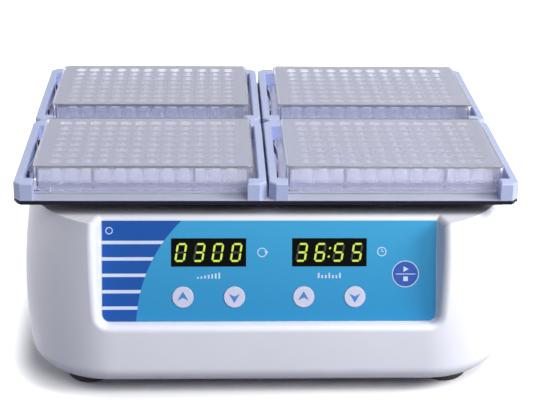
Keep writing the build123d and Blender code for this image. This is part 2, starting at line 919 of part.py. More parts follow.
def build_label():
    return slab(label_width, label_depth, foot_height - label_thickness, foot_height, 2.0)


def save(name, shapes):
    """Write one named piece, or a group of separate like pieces, to its own file."""
    group = shapes if isinstance(shapes, list) else [shapes]
    solids = []
    for shape in group:
        solids.extend(shape.solids())
    whole = solids[0] if len(solids) == 1 else Compound(children=solids)
    whole.label = name
    export_step(whole, os.path.join("parts", name + ".step"))


os.makedirs("parts", exist_ok=True)
save("housing_shell", build_housing())
save("base_plate", build_base_plate())
save("rubber_feet", build_feet())
save("foot_screws", build_foot_screws())
save("base_screws", build_base_screws())
save("frame_pillars", build_pillars())
save("bearing_frame", build_frame())
save("frame_screws", build_frame_screws())
save("motor_body", build_motor())
save("motor_stand", build_motor_stand())
save("main_bearing_barrel", build_main_barrel())
save("main_bearings", build_main_bearings())
save("idler_blocks", build_idler_blocks())
save("idler_lower_bearings", build_idler_lower_bearings())
save("motor_rotor", build_rotor())
save("drive_shaft", build_drive_shaft())
save("counterweight", build_counterweight())
for name, (x, y) in idler_places.items():
    save(name, build_idler_crank(x, y))
save("tray_plate", build_tray_plate())
save("tray_hub", build_hub())
save("hub_bearing", build_hub_bearing())
save("idler_sockets", build_idler_sockets())
save("idler_upper_bearings", build_idler_upper_bearings())
save("tray_screws", build_tray_screws())
save("bracket_screws", build_bracket_screws())
save("plate_brackets_left", build_brackets(-1))
save("plate_brackets_right", build_brackets(1))
save("leaf_springs", build_springs())
save("spring_screws", build_spring_screws())
microplate = build_microplate()
lid = build_lid()
for cell in cell_places():
    save("microplate_" + cell, plate_place(cell) * microplate)
    save("lid_" + cell, plate_place(cell) * lid)
save("control_overlay", build_overlay())
save("display_windows", build_windows())
save("led_displays", build_displays())
save("control_board", build_board())
save("key_switches", build_switches())
for name, (x, drop, radius) in key_places.items():
    save(name, build_key(x, drop, radius))
save("inlet_socket", build_inlet())
save("inlet_pins", build_inlet_pins())
save("switch_frame", build_switch_frame())
save("power_rocker", build_rocker())
save("supply_board", build_supply_board())
save("board_standoffs", build_standoffs())
save("power_transformer", build_transformer())
save("capacitors", build_capacitors())
save("ribbon_cable", build_ribbon())
save("rating_plate", build_label())
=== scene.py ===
"""Looks of a digital orbital shaker for four microplates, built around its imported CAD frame."""
from math import cos, pi, radians, sin, tan

import bpy
import numpy as np
from mathutils import Matrix, Vector


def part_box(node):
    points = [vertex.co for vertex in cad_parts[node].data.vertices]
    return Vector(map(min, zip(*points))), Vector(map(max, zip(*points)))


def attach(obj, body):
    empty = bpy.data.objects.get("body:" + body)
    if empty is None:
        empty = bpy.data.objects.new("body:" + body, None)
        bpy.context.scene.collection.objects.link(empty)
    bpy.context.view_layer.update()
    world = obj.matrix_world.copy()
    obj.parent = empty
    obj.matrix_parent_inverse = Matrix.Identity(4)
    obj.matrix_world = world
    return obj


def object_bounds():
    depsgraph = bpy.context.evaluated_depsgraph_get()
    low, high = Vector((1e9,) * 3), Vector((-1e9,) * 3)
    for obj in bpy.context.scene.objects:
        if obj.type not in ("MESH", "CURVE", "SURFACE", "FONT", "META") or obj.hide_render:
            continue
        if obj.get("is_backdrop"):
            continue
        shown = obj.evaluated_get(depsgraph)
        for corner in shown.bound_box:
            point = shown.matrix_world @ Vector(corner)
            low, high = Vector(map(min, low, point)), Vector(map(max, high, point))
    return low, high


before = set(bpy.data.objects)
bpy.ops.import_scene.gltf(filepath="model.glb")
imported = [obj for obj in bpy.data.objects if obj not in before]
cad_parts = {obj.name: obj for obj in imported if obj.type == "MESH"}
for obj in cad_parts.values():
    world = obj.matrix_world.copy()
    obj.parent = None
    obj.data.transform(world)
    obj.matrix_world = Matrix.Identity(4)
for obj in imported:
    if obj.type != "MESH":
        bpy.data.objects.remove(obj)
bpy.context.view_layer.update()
scene = bpy.context.scene
mm = 0.001


# Camera
# It stands in front, a little left of the middle, and looks down on the plates through a long
# lens, held almost level.
camera_place = (-0.0331, -0.8173, 0.4100)
camera_heading = 0.0433
camera_dip = 0.3999
camera_roll = 0.0169
camera_lens = 93.82

camera_data = bpy.data.cameras.new("camera")
camera_data.lens = camera_lens
camera = bpy.data.objects.new("camera", camera_data)
camera.matrix_world = (
    Matrix.Translation(camera_place)
    @ Matrix.Rotation(-camera_heading, 4, "Z")
    @ Matrix.Rotation(pi / 2 - camera_dip, 4, "X")
    @ Matrix.Rotation(camera_roll, 4, "Z")
)
scene.collection.objects.link(camera)
scene.camera = camera


# Studio
# A white sweep and a cool grey surround that is seen as white. One lamp from the right models the
# forms, a large one above the front fills them, and a weak one behind the left gives that side
# its pale edge.
surround_colour = (0.115, 0.12, 0.155, 1.0)
seen_white = (1.0, 1.0, 1.0, 1.0)
floor_half = 4.0
floor_colour = (0.24, 0.24, 0.28, 1.0)
floor_seen_glow = 0.9
glow_full = 26.0 * mm
foot_print = (137.0 * mm, 132.5 * mm)
foot_print_corner = 48.0 * mm
lamp_aim = (0.0, 0.0, 0.06)
lamps = {
    "key_lamp": {"way": (0.814, -0.296, 0.50), "far": 1.30, "size": 0.42, "level": 0.78},
    "fill_lamp": {"way": (0.35, -0.60, 0.72), "far": 1.40, "size": 1.00, "level": 0.68},
    "edge_lamp": {"way": (-0.87, 0.39, 0.30), "far": 1.30, "size": 0.60, "level": 0.34},
}
clear_bounces = 18
clear_crossings = 48


def put(tree, kind, values=None, **settings):
    """Add a node, set its properties, then give its sockets a value or a link from a socket."""
    made = tree.nodes.new(kind)
    for name, value in settings.items():
        setattr(made, name, value)
    for name, value in (values or {}).items():
        if isinstance(value, bpy.types.NodeSocket):
            tree.links.new(value, made.inputs[name])
        else:
            made.inputs[name].default_value = value
    return made


def seen_ray(tree):
    """One where a ray comes from the camera, a gloss or a clear piece, and zero elsewhere."""
    path = put(tree, "ShaderNodeLightPath").outputs
    either = put(tree, "ShaderNodeMath", {0: path["Is Camera Ray"], 1: path["Is Glossy Ray"]},
                 operation="MAXIMUM")
    return put(tree, "ShaderNodeMath", {0: either.outputs[0], 1: path["Is Transmission Ray"]},
               operation="MAXIMUM").outputs[0]


world = bpy.data.worlds.new("studio")
world.use_nodes = True
scene.world = world
sky = world.node_tree
sky_colour = put(sky, "ShaderNodeMix", {"Factor": seen_ray(sky), "A": surround_colour,
                                        "B": seen_white}, data_type="RGBA")
sky.links.new(sky_colour.outputs["Result"], sky.nodes["Background"].inputs["Color"])

# The floor gives off light away from the object, so that it stays white there and keeps only
# the dark shadow close to the feet. The distance is that from the housing's rounded outline:
# the length of what lies past the outline less its corner radius, and then less that radius.
floor_material = bpy.data.materials.new("white_sweep")
floor_material.use_nodes = True
sweep = floor_material.node_tree
sweep.nodes.remove(sweep.nodes["Principled BSDF"])
spot = put(sweep, "ShaderNodeTexCoord").outputs["Object"]
straight = tuple(side - foot_print_corner for side in foot_print) + (0.0,)
folded = put(sweep, "ShaderNodeVectorMath", {0: spot}, operation="ABSOLUTE").outputs[0]
past = put(sweep, "ShaderNodeVectorMath", {0: folded, 1: straight},
           operation="SUBTRACT").outputs[0]
past = put(sweep, "ShaderNodeVectorMath", {0: past, 1: (0.0, 0.0, 0.0)},
           operation="MAXIMUM").outputs[0]
distance = put(sweep, "ShaderNodeVectorMath", {0: past}, operation="LENGTH").outputs["Value"]
away = put(sweep, "ShaderNodeMapRange", {
    "Value": distance, "From Min": foot_print_corner,
    "From Max": glow_full + foot_print_corner, "To Max": floor_seen_glow},
    interpolation_type="SMOOTHSTEP").outputs[0]
plain = put(sweep, "ShaderNodeBsdfDiffuse", {"Color": floor_colour})
seen = put(sweep, "ShaderNodeBsdfDiffuse", {"Color": seen_white})
glow = put(sweep, "ShaderNodeEmission", {"Color": seen_white, "Strength": away})
bright = put(sweep, "ShaderNodeAddShader", {0: seen.outputs[0], 1: glow.outputs[0]})
mixed = put(sweep, "ShaderNodeMixShader", {0: seen_ray(sweep), 1: plain.outputs[0],
                                           2: bright.outputs[0]})
sweep.links.new(mixed.outputs[0], sweep.nodes["Material Output"].inputs["Surface"])

floor_mesh = bpy.data.meshes.new("floor")
floor_corners = [(x * floor_half, y * floor_half, 0.0)
                 for x, y in ((-1, -1), (1, -1), (1, 1), (-1, 1))]
floor_mesh.from_pydata(floor_corners, [], [(0, 1, 2, 3)])
floor_mesh.materials.append(floor_material)
floor = bpy.data.objects.new("floor", floor_mesh)
scene.collection.objects.link(floor)
floor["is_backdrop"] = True

for name, given in lamps.items():
    lamp_data = bpy.data.lights.new(name, "AREA")
    lamp_data.size = given["size"]
    # A white face square to the lamp returns level: power = level * pi^2 * distance^2.
    lamp_data.energy = given["level"] * pi ** 2 * given["far"] ** 2
    lamp = bpy.data.objects.new(name, lamp_data)
    way = Vector(given["way"]).normalized()
    turn = way.to_track_quat("Z", "Y").to_matrix().to_4x4()
    lamp.matrix_world = Matrix.Translation(Vector(lamp_aim) + way * given["far"]) @ turn
    scene.collection.objects.link(lamp)
scene.view_settings.view_transform = "Standard"
# Light crosses many clear walls on its way through two plates and their lids.
scene.cycles.max_bounces = clear_bounces
scene.cycles.transmission_bounces = clear_bounces
scene.cycles.transparent_max_bounces = clear_crossings


# Housing
# One white shell of plastic with a fine satin grain, moulded in one piece with the recess for the
# control film, the deck and the rear recess.
housing_colour = (0.80, 0.81, 0.88, 1.0)
housing_shade = (0.76, 0.77, 0.85, 1.0)
cloud_detail = 4.0
pebble_detail = 2.0
pebble_depth = 0.1 * mm


def finish_group(name, inputs):
    """Start a node group that takes two colours, a gloss, its spread, a relief and the given
    inputs, by name and kind. It puts out what every finish here needs."""
    group = bpy.data.node_groups.new(name, "ShaderNodeTree")
    common = {"Colour": "Color", "Shade": "Color", "Gloss": "Float", "Spread": "Float"}
    for socket, kind in {**common, **inputs, "Relief": "Float"}.items():
        group.interface.new_socket(socket, in_out="INPUT", socket_type="NodeSocket" + kind)
    for socket, kind in {"Colour": "Color", "Roughness": "Float", "Normal": "Vector"}.items():
        group.interface.new_socket(socket, in_out="OUTPUT", socket_type="NodeSocket" + kind)
    return group, put(group, "NodeGroupInput").outputs


def close_group(group, given, mask, height, depth):
    """Mix the two colours by the mask, move the gloss by spread times the mask less one half,
    and bump the normal by the height, which is depth at its full relief."""
    colour = put(group, "ShaderNodeMix", {"Factor": mask, "A": given["Colour"],
                                          "B": given["Shade"]}, data_type="RGBA")
    centred = put(group, "ShaderNodeMath", {0: mask, 1: 0.5}, operation="SUBTRACT")
    gloss = put(group, "ShaderNodeMath", {0: centred.outputs[0], 1: given["Spread"],
                                          2: given["Gloss"]}, operation="MULTIPLY_ADD")
    relief = put(group, "ShaderNodeBump", {"Strength": given["Relief"], "Distance": depth,
                                           "Height": height})
    put(group, "NodeGroupOutput", {"Colour": colour.outputs["Result"],
                                   "Roughness": gloss.outputs[0], "Normal": relief.outputs[0]})
    return group


def grain_group():
    """Node group: slow clouds between two colours and two glosses, and a fine pebbled normal."""
    group, given = finish_group("moulded_grain", {"Cloud size": "Float", "Grain size": "Float"})
    spot = put(group, "ShaderNodeTexCoord").outputs["Object"]
    cloud_scale = put(group, "ShaderNodeMath", {0: 1.0, 1: given["Cloud size"]}, operation="DIVIDE")
    clouds = put(group, "ShaderNodeTexNoise", {"Vector": spot, "Scale": cloud_scale.outputs[0],
                                               "Detail": cloud_detail}).outputs["Fac"]
    grain_scale = put(group, "ShaderNodeMath", {0: 1.0, 1: given["Grain size"]}, operation="DIVIDE")
    pebbles = put(group, "ShaderNodeTexNoise", {"Vector": spot, "Scale": grain_scale.outputs[0],
                                                "Detail": pebble_detail}).outputs["Fac"]
    return close_group(group, given, clouds, pebbles, pebble_depth)


moulded_grain = grain_group()


def finished(name, group, values):
    """A material whose shader is fed by this node group, and the outputs of the group in it."""
    material = bpy.data.materials.new(name)
    material.use_nodes = True
    tree = material.node_tree
    skin = put(tree, "ShaderNodeGroup", values, node_tree=group).outputs
    shader = tree.nodes["Principled BSDF"]
    tree.links.new(skin["Colour"], shader.inputs["Base Color"])
    tree.links.new(skin["Roughness"], shader.inputs["Roughness"])
    tree.links.new(skin["Normal"], shader.inputs["Normal"])
    return material, skin


def moulded(name, colour, shade, gloss, relief=0.15, grain=0.7 * mm, cloud=40 * mm, **sockets):
    """A material with the moulded grain. More sockets of its shader can be set by name."""
    material, _ = finished(name, moulded_grain, {
        "Colour": colour, "Shade": shade, "Gloss": gloss, "Spread": gloss / 3,
        "Cloud size": cloud, "Grain size": grain, "Relief": relief})
    shader = material.node_tree.nodes["Principled BSDF"]
    for socket, value in sockets.items():
        shader.inputs[socket.replace("_", " ")].default_value = value
    return material


def dress(material, *nodes):
    """Give CAD nodes this material."""
    for name in nodes:
        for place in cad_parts[name].material_slots:
            place.material = material


dress(moulded("white_shell", housing_colour, housing_shade, gloss=0.38), "housing_shell")


# Base, feet and the fasteners under them
# A grey powder-coated steel plate closes the shell from below. Four black rubber feet with a
# sunk screw each carry the weight, and a bare foil rating plate is stuck on between them.
line_detail = 3.0
line_depth = 0.05 * mm
lines_along_x = (60.0, 2500.0, 2500.0)

dress(moulded("powder_coat", (0.085, 0.088, 0.096, 1.0), (0.060, 0.062, 0.070, 1.0), gloss=0.55,
              relief=0.6, grain=0.5 * mm), "base_plate")
dress(moulded("black_rubber", (0.012, 0.012, 0.014, 1.0), (0.020, 0.020, 0.022, 1.0), gloss=0.62,
              relief=0.5, grain=0.4 * mm), "rubber_feet")


def brushed_group():
    """Node group: long fine lines, from noise squeezed across them, that streak colour and
    gloss and roughen the normal."""
    group, given = finish_group("brushed_lines", {"Lines": "Vector"})
    spot = put(group, "ShaderNodeTexCoord").outputs["Object"]
    squeezed = put(group, "ShaderNodeVectorMath", {0: spot, 1: given["Lines"]},
                   operation="MULTIPLY").outputs[0]
    lines = put(group, "ShaderNodeTexNoise", {"Vector": squeezed, "Scale": 1.0,
                                              "Detail": line_detail}).outputs["Fac"]
    return close_group(group, given, lines, lines, line_depth)


brushed_lines = brushed_group()


def metal(name, colour, shade, gloss, lines=lines_along_x, relief=0.2):
    """A bare metal with fine lines, which run along the axis that has the small number."""
    material, _ = finished(name, brushed_lines, {
        "Colour": colour, "Shade": shade, "Gloss": gloss, "Spread": gloss / 2,
        "Lines": lines, "Relief": relief})
    material.node_tree.nodes["Principled BSDF"].inputs["Metallic"].default_value = 1.0
    return material


dress(metal("zinc_steel", (0.56, 0.57, 0.60, 1.0), (0.44, 0.45, 0.48, 1.0), gloss=0.32),
      "foot_screws", "base_screws", "frame_screws", "tray_screws", "bracket_screws")
dress(metal("bare_foil", (0.70, 0.71, 0.73, 1.0), (0.60, 0.61, 0.64, 1.0), gloss=0.40),
      "rating_plate")


# Frame, motor and bearings inside the housing
# A milled aluminium plate on four pillars carries the motor below it and, above it, the main
# bearings and the four idler blocks. None of it shows from outside.
lines_along_z = (2500.0, 2500.0, 60.0)
turned_lines = (300.0, 300.0, 4000.0)
idler_cranks = [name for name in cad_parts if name.startswith("idler_crank")]

dress(metal("milled_aluminium", (0.74, 0.75, 0.77, 1.0), (0.64, 0.65, 0.68, 1.0), gloss=0.34),
      "bearing_frame", "idler_blocks")
dress(metal("turned_aluminium", (0.72, 0.73, 0.75, 1.0), (0.62, 0.63, 0.66, 1.0), gloss=0.28,
            lines=turned_lines),
      "frame_pillars", "motor_stand", "main_bearing_barrel", "tray_hub", "idler_sockets")
dress(metal("ground_steel", (0.58, 0.59, 0.61, 1.0), (0.50, 0.51, 0.54, 1.0), gloss=0.20,
            lines=lines_along_z),
      "main_bearings", "idler_lower_bearings", "idler_upper_bearings", "hub_bearing",
      "drive_shaft", "motor_rotor", *idler_cranks)
dress(metal("turned_brass", (0.78, 0.62, 0.30, 1.0), (0.66, 0.50, 0.22, 1.0), gloss=0.30,
            lines=turned_lines), "counterweight", "board_standoffs", "inlet_pins")
dress(moulded("motor_paint", (0.020, 0.020, 0.024, 1.0), (0.030, 0.030, 0.034, 1.0), gloss=0.42),
      "motor_body")


# Tray
# A flat metal plate with brushed lines from side to side and clipped corners. Its edge and
# underside are painted near black, partly as a dark edge and partly as painted shade where the
# edge faces away from the light above. Countersunk screws fix it to the hub and the idler sockets.
tray_colour = (0.50, 0.51, 0.63, 1.0)
tray_shade = (0.42, 0.43, 0.55, 1.0)
tray_gloss = 0.30
tray_spread = 0.12
tray_lines = (8.0, 900.0, 900.0)
tray_relief = 0.25
tray_shine = 0.50
# Near black for the edge and underside: partly a dark edge, partly painted shade on faces turned
# away from the light above.
tray_edge_and_shade_colour = (0.010, 0.011, 0.022, 1.0)
tray_edge_gloss = 0.45
tray_edge_shine = 0.08
tray_skin = 0.15 * mm
tray_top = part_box("tray_plate")[1].z

# The streaks colour only the thin skin under the top face. The edge and underside get the
# near-black colour, partly a dark edge and partly painted shade.
tray_material, streaks = finished("brushed_tray", brushed_lines, {
    "Colour": tray_colour, "Shade": tray_shade, "Gloss": tray_gloss, "Spread": tray_spread,
    "Lines": tray_lines, "Relief": tray_relief})
tray_tree = tray_material.node_tree
tray_height = put(tray_tree, "ShaderNodeSeparateXYZ", {
    0: put(tray_tree, "ShaderNodeTexCoord").outputs["Object"]}).outputs["Z"]
tray_face = put(tray_tree, "ShaderNodeMath", {0: tray_height, 1: tray_top - tray_skin},
                operation="GREATER_THAN").outputs[0]
tray_parts = {
    "Base Color": put(tray_tree, "ShaderNodeMix", {
        "Factor": tray_face, "A": tray_edge_and_shade_colour, "B": streaks["Colour"]}, data_type="RGBA"),
    "Roughness": put(tray_tree, "ShaderNodeMix", {
        "Factor": tray_face, "A": tray_edge_gloss, "B": streaks["Roughness"]}),
    "Specular IOR Level": put(tray_tree, "ShaderNodeMix", {
        "Factor": tray_face, "A": tray_edge_shine, "B": tray_shine}),
}
for socket, mix in tray_parts.items():
    tray_tree.links.new(mix.outputs["Result"],
                        tray_tree.nodes["Principled BSDF"].inputs[socket])
dress(tray_material, "tray_plate")


# Plate brackets, leaf springs and their screws
# Eight grey-blue moulded brackets grip the plates by their ends. On the left ones a bowed strip
# of spring steel under two small black screws pushes the plate against the right one.
lines_along_y = (2500.0, 60.0, 2500.0)

dress(moulded("bracket_plastic", (0.45, 0.51, 0.74, 1.0), (0.41, 0.47, 0.71, 1.0), gloss=0.30,
              relief=0.08), "plate_brackets_left", "plate_brackets_right")
dress(metal("spring_steel", (0.42, 0.44, 0.52, 1.0), (0.34, 0.36, 0.44, 1.0), gloss=0.34,
            lines=lines_along_y), "leaf_springs")
dress(moulded("black_oxide", (0.015, 0.015, 0.020, 1.0), (0.022, 0.022, 0.026, 1.0), gloss=0.35,
              Metallic=0.6), "spring_screws")


# Microplates
# Four clear polystyrene plates, each moulded in one piece: a skirt, a deck and 96 wells in rows
# of twelve. A raised bead runs round the mouth of each well, and two ribs stiffen each long side.
cells = ("front_left", "front_right", "rear_left", "rear_right")
well_columns = 12
well_rows = 8
well_pitch = 9.0 * mm
bead_radius = 3.75 * mm
bead_half_width = 0.42 * mm
bead_height = 0.30 * mm
bead_sides = 5
bead_steps = 14
rib_offset = 28.4 * mm
rib_half_width = 0.8 * mm
rib_gap = 0.2 * mm
plate_flange_step = 3.6 * mm
plate_flange_height = 2.6 * mm
clear_index = 1.50
clear_shadow = (0.95, 0.95, 0.97, 1.0)


def clear_plastic(name, colour, clearness, gloss):
    """A clear moulding that bends what is seen through it. The light that falls on what lies
    under it passes straight through, a little dimmed."""
    material = moulded(name, colour, colour, gloss, relief=0.04, grain=3.0 * mm,
                       Transmission_Weight=clearness, IOR=clear_index)
    tree = material.node_tree
    path = put(tree, "ShaderNodeLightPath").outputs
    easy = put(tree, "ShaderNodeMath", {0: path["Is Shadow Ray"], 1: path["Is Diffuse Ray"]},
               operation="MAXIMUM")
    straight = put(tree, "ShaderNodeBsdfTransparent", {"Color": clear_shadow})
    either = put(tree, "ShaderNodeMixShader", {
        0: easy.outputs[0], 1: tree.nodes["Principled BSDF"].outputs[0], 2: straight.outputs[0]})
    tree.links.new(either.outputs[0], tree.nodes["Material Output"].inputs["Surface"])
    return material


def piece(name, points, faces, material, body, smooth=False):
    """Make a mesh of these points and faces, in place, and let it ride on a CAD body."""
    mesh = bpy.data.meshes.new(name)
    mesh.from_pydata(np.reshape(points, (-1, 3)).tolist(), [], faces)
    mesh.materials.append(material)
    if smooth:
        mesh.shade_smooth()
    made = bpy.data.objects.new(name, mesh)
    scene.collection.objects.link(made)
    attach(made, body)
    return made


def loop_faces(count, rows, columns):
    """Quads of as many tubes as count, each a grid that closes on itself both ways."""
    row, column = np.meshgrid(np.arange(rows), np.arange(columns), indexing="ij")
    after_row, after_column = (row + 1) % rows, (column + 1) % columns
    quads = np.stack([row * columns + column, after_row * columns + column,
                      after_row * columns + after_column, row * columns + after_column], axis=-1)
    starts = np.arange(count) * rows * columns
    return (quads.reshape(1, -1, 4) + starts[:, None, None]).reshape(-1, 4).tolist()


def turned_rings(centres, profile, steps):
    """A profile of radii and heights, carried round an upright axis at each centre."""
    turn = np.linspace(0, 2 * pi, steps, endpoint=False)[:, None]
    radii, heights = np.asarray(profile, float).T
    ring = np.stack([np.cos(turn) * radii, np.sin(turn) * radii,
                     np.broadcast_to(heights, (steps, len(heights)))], axis=-1)
    points = np.asarray(centres, float)[:, None, None, :] + ring
    return points, loop_faces(len(points), steps, len(heights))


def prisms(outlines, low, high):
    """Flat outlines of equally many corners, run counterclockwise, each raised from low to high."""
    outlines = np.asarray(outlines, float)
    count, corners = outlines.shape[:2]
    levels = np.empty((count, 2, corners, 3))
    levels[..., :2] = outlines[:, None]
    levels[:, 0, :, 2] = low
    levels[:, 1, :, 2] = high
    corner = np.arange(corners)
    after = (corner + 1) % corners
    sides = np.stack([corner, after, after + corners, corner + corners], axis=-1)
    starts = 2 * corners * np.arange(count)[:, None]
    faces = (sides.reshape(1, -1, 4) + starts[..., None]).reshape(-1, 4).tolist()
    faces += (starts + corners + corner).tolist()
    faces += (starts + corner[::-1]).tolist()
    return levels, faces


def boxes(lows, highs):
    """Upright boxes between pairs of corners."""
    corners = np.array([(0, 0), (1, 0), (1, 1), (0, 1)])
    lows, highs = np.asarray(lows, float), np.asarray(highs, float)
    spans = (highs - lows)[:, None, :2]
    points, faces = prisms(lows[:, None, :2] + corners * spans, 0.0, 1.0)
    depth = (highs - lows)[:, None, None, 2]
    points[..., 2] = lows[:, None, None, 2] + points[..., 2] * depth
    return points, faces


def side_ribs(middle, near, far, low, high):
    """Four upright ribs, two on each long side, between two distances from the middle."""
    lows, highs = [], []
    for across in (-rib_offset, rib_offset):
        for side in (-1, 1):
            inner, outer = sorted((middle.y + side * near, middle.y + side * far))
            lows.append((middle.x + across - rib_half_width, inner, low))
            highs.append((middle.x + across + rib_half_width, outer, high))
    return boxes(lows, highs)


polystyrene = clear_plastic("clear_polystyrene", (0.90, 0.91, 0.97, 1.0), clearness=0.93,
                            gloss=0.06)
columns = (np.arange(well_columns) - (well_columns - 1) / 2) * well_pitch
rows = (np.arange(well_rows) - (well_rows - 1) / 2) * well_pitch
well_places = np.stack(np.meshgrid(columns, rows), axis=-1).reshape(-1, 2)
bead_profile = [(bead_radius + bead_half_width * cos(a), bead_height * sin(a))
                for a in np.linspace(0, 2 * pi, bead_sides, endpoint=False)]

for cell in cells:
    node = "microplate_" + cell
    low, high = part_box(node)
    middle = (low + high) / 2
    dress(polystyrene, node)
    centres = np.column_stack([well_places + (middle.x, middle.y),
                               np.full(len(well_places), high.z)])
    points, faces = turned_rings(centres, bead_profile, bead_steps)
    piece("well_beads_" + cell, points, faces, polystyrene, "plate_" + cell, True)
    lid_low, lid_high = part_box("lid_" + cell)
    points, faces = side_ribs(
        middle, (high.y - low.y) / 2 - plate_flange_step, (lid_high.y - lid_low.y) / 2,
        low.z + plate_flange_height, lid_low.z - rib_gap)
    piece("plate_ribs_" + cell, points, faces, polystyrene, "plate_" + cell)


# Lids
# A thin clear lid drops over each plate and stands on its deck. Its skirt covers the upper half
# of the wells and has the same four ribs.
lid_plastic = clear_plastic("clear_lid", (0.93, 0.94, 0.98, 1.0), clearness=0.95, gloss=0.04)
lid_rib_depth = 0.8 * mm
lid_rib_drop = 0.6 * mm

for cell in cells:
    node = "lid_" + cell
    low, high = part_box(node)
    middle = (low + high) / 2
    dress(lid_plastic, node)
    face = (high.y - low.y) / 2
    points, faces = side_ribs(middle, face, face + lid_rib_depth, low.z, high.z - lid_rib_drop)
    piece("lid_ribs_" + cell, points, faces, lid_plastic, "cover_" + cell)


# Control film
# A printed plastic film fills the recess: dark blue with pale stripes left of a large arc, and
# a lighter blue for the rest, a little deeper towards the bottom edge.
panel_tilt = radians(19.0)
panel_top = (0.0, -104.213 * mm, 97.639 * mm)
panel_length = 57.3 * mm
film_rise = 0.5 * mm
film_blue = (0.050, 0.360, 0.640, 1.0)
film_low_blue = (0.028, 0.270, 0.545, 1.0)
film_dark_blue = (0.010, 0.085, 0.370, 1.0)
stripe_colour = (0.640, 0.720, 0.900, 1.0)
stripe_first = 12.5 * mm
stripe_pitch = 9.24 * mm
stripe_half = 0.95 * mm
stripe_start = 8.0 * mm
arc_centre = (8.9 * mm, 60.5 * mm)
arc_radius = 84.0 * mm


def film_material():
    """The film's print, in distances across the panel and down its slope."""
    material = moulded("printed_film", film_blue, film_blue, gloss=0.34, relief=0.05,
                       Specular_IOR_Level=0.25)
    tree = material.node_tree
    shader = tree.nodes["Principled BSDF"]
    spot = put(tree, "ShaderNodeTexCoord").outputs["Object"]
    flat = put(tree, "ShaderNodeMapping", {"Vector": spot, "Location": panel_top,
                                           "Rotation": (pi / 2 - panel_tilt, 0.0, 0.0)},
               vector_type="TEXTURE")
    place = put(tree, "ShaderNodeSeparateXYZ", {0: flat.outputs[0]}).outputs

    def maths(operation, first, second=0.0):
        return put(tree, "ShaderNodeMath", {0: first, 1: second}, operation=operation).outputs[0]

    drop = maths("MULTIPLY", place["Y"], -1.0)
    across = maths("SUBTRACT", place["X"], arc_centre[0])
    down = maths("SUBTRACT", drop, arc_centre[1])
    reach = maths("SQRT", maths("ADD", maths("MULTIPLY", across, across),
                                maths("MULTIPLY", down, down)))
    left = maths("MULTIPLY", maths("GREATER_THAN", reach, arc_radius),
                 maths("LESS_THAN", across, 0.0))
    from_stripe = maths("PINGPONG", maths("SUBTRACT", drop, stripe_first), stripe_pitch / 2)
    on_stripe = maths("MULTIPLY", maths("LESS_THAN", from_stripe, stripe_half),
                      maths("GREATER_THAN", drop, stripe_start))
    depth = put(tree, "ShaderNodeMapRange", {"Value": drop, "From Max": panel_length}).outputs[0]
    light = put(tree, "ShaderNodeMix", {"Factor": depth, "A": film_blue, "B": film_low_blue},
                data_type="RGBA").outputs["Result"]
    dark = put(tree, "ShaderNodeMix", {"Factor": on_stripe, "A": film_dark_blue,
                                       "B": stripe_colour}, data_type="RGBA").outputs["Result"]
    whole = put(tree, "ShaderNodeMix", {"Factor": left, "A": light, "B": dark}, data_type="RGBA")
    tree.links.new(whole.outputs["Result"], shader.inputs["Base Color"])
    return material


dress(film_material(), "control_overlay")


def on_panel(points):
    """Points given as across, up the slope and out of it, carried to their place on the panel."""
    across, up, out = np.moveaxis(np.asarray(points, float), -1, 0)
    return np.stack([
        panel_top[0] + across,
        panel_top[1] + up * sin(panel_tilt) - out * cos(panel_tilt),
        panel_top[2] + up * cos(panel_tilt) + out * sin(panel_tilt),
    ], axis=-1)


print_thickness = 0.06 * mm
pale_print = moulded("pale_print", (0.62, 0.74, 0.88, 1.0), (0.58, 0.70, 0.86, 1.0), gloss=0.40)


def printed(name, outlines, base, material, body):
    """A thin raised print of flat outlines on the panel, its back at base above the panel."""
    points, faces = prisms(outlines, base, base + print_thickness)
    return piece(name, on_panel(points), faces, material, body)


# Displays
# Two smoked windows, each with four slanted seven-segment digits that glow yellow-green. The
# segments that are off stay faintly visible, and a colon parts the time.
window_drop = 18.2 * mm
speed_window_x = -34.5 * mm
time_window_x = 33.4 * mm
digit_pitch = 10.35 * mm
digit_half_width = 2.35 * mm
digit_half_height = 4.75 * mm
digit_slant = tan(radians(9.0))
segment_half = 0.56 * mm
segment_gap = 0.22 * mm
window_lift = 0.001 * mm
window_rise = film_rise + window_lift
colon_half = 0.62 * mm
colon_steps = 12
lit_segments = {"0": "abcdef", "3": "abcdg", "5": "acdfg", "6": "acdefg"}
lit_colour = (0.66, 0.86, 0.045, 1.0)
lit_strength = 1.0
lit_dimmed = 0.82
lit_mottle = 900.0
unlit_base = (0.02, 0.02, 0.02, 1.0)

dress(moulded("smoked_window", (0.004, 0.005, 0.0035, 1.0), (0.005, 0.006, 0.004, 1.0),
              gloss=0.16, relief=0.0, Specular_IOR_Level=0.02), "display_windows")
dress(moulded("display_block", (0.03, 0.03, 0.03, 1.0), (0.04, 0.04, 0.04, 1.0), gloss=0.5),
      "led_displays")


def bar(start, end):
    """A bar with pointed ends between two points, as six corners run counterclockwise."""
    start, end = np.array(start), np.array(end)
    along = (end - start) / np.linalg.norm(end - start)
    side = np.array((-along[1], along[0])) * segment_half
    start, end = start + along * segment_gap, end - along * segment_gap
    point = along * segment_half
    return np.array([start, start + point - side, end - point - side, end,
                     end - point + side, start + point + side])


def digit_bars():
    """The seven bars of a digit, by letter, before it is slanted."""
    w, h = digit_half_width, digit_half_height
    return {"a": bar((-w, h), (w, h)), "b": bar((w, 0), (w, h)), "c": bar((w, -h), (w, 0)),
            "d": bar((-w, -h), (w, -h)), "e": bar((-w, -h), (-w, 0)), "f": bar((-w, 0), (-w, h)),
            "g": bar((-w, 0), (w, 0))}


